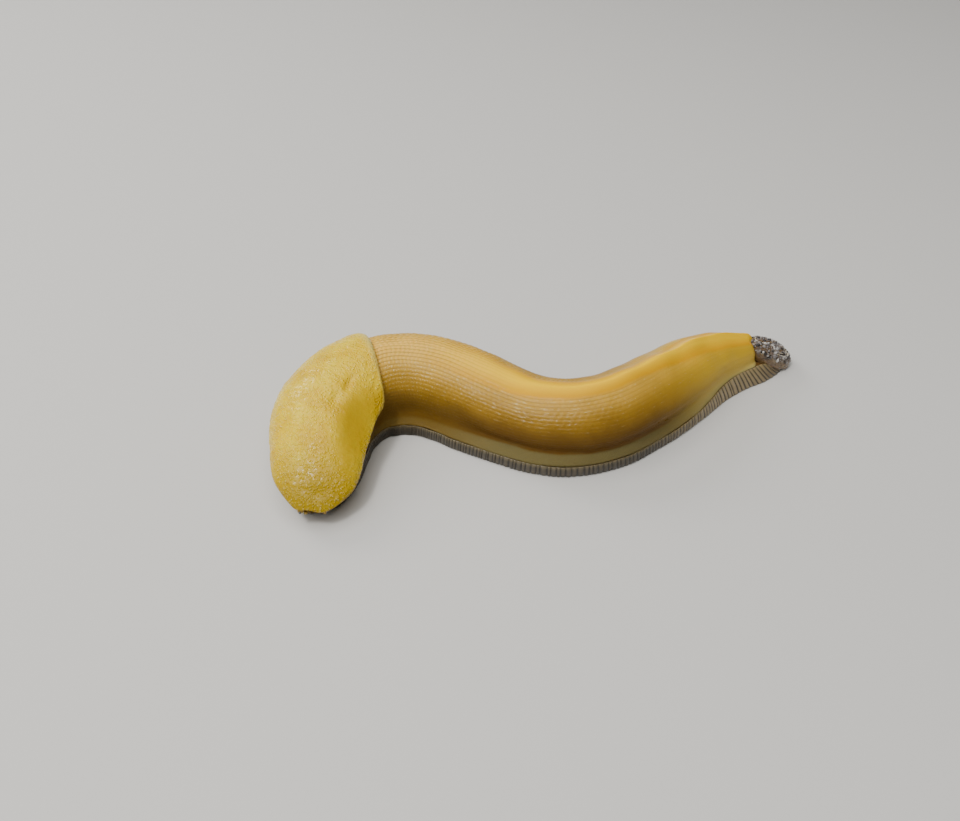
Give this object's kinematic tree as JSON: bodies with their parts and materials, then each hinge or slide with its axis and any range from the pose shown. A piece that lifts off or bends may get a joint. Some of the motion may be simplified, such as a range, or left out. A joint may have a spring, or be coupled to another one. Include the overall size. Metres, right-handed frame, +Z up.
{
  "type": "banana slug model",
  "caption": "Life-size still model of a banana slug crawling in an S, with its head drawn in under a smooth mantle and a keeled, blunt tail.",
  "frame": {"origin": "centre of the footprint's bounding box, on the floor under the sole", "axes": "+Z up; +X towards the tail; +Y towards the outer side of the front bend"},
  "size_m": [0.1732, 0.0824, 0.027],
  "materials": {
    "mantle_skin": "wet satin, finely granular lemon-yellow skin",
    "back_skin": "wet satin, golden skin with fine lengthwise furrows, brown low on the flank",
    "head_skin": "wet satin, fine-grained ochre skin",
    "foot_skin": "moist taupe fringe with dark cross lines, olive-yellow skirt above it",
    "eye_black": "glossy black",
    "slime_grit": "dried slime, amber and translucent, with grey and white grit"
  },
  "bodies": {
    "root": {"mantle": "mantle_skin", "head": "head_skin", "neck": "back_skin", "trunk_front": "back_skin", "trunk_middle": "back_skin", "trunk_rear": "back_skin", "tail": "back_skin", "foot_front": "foot_skin", "foot_middle": "foot_skin", "foot_rear": "foot_skin", "foot_tail": "foot_skin", "upper_tentacle_left": "head_skin", "upper_tentacle_right": "head_skin", "lower_tentacle_left": "head_skin", "lower_tentacle_right": "head_skin", "eye_left": "eye_black", "eye_right": "eye_black", "slime_plug": "slime_grit"}
  },
  "joints": []
}
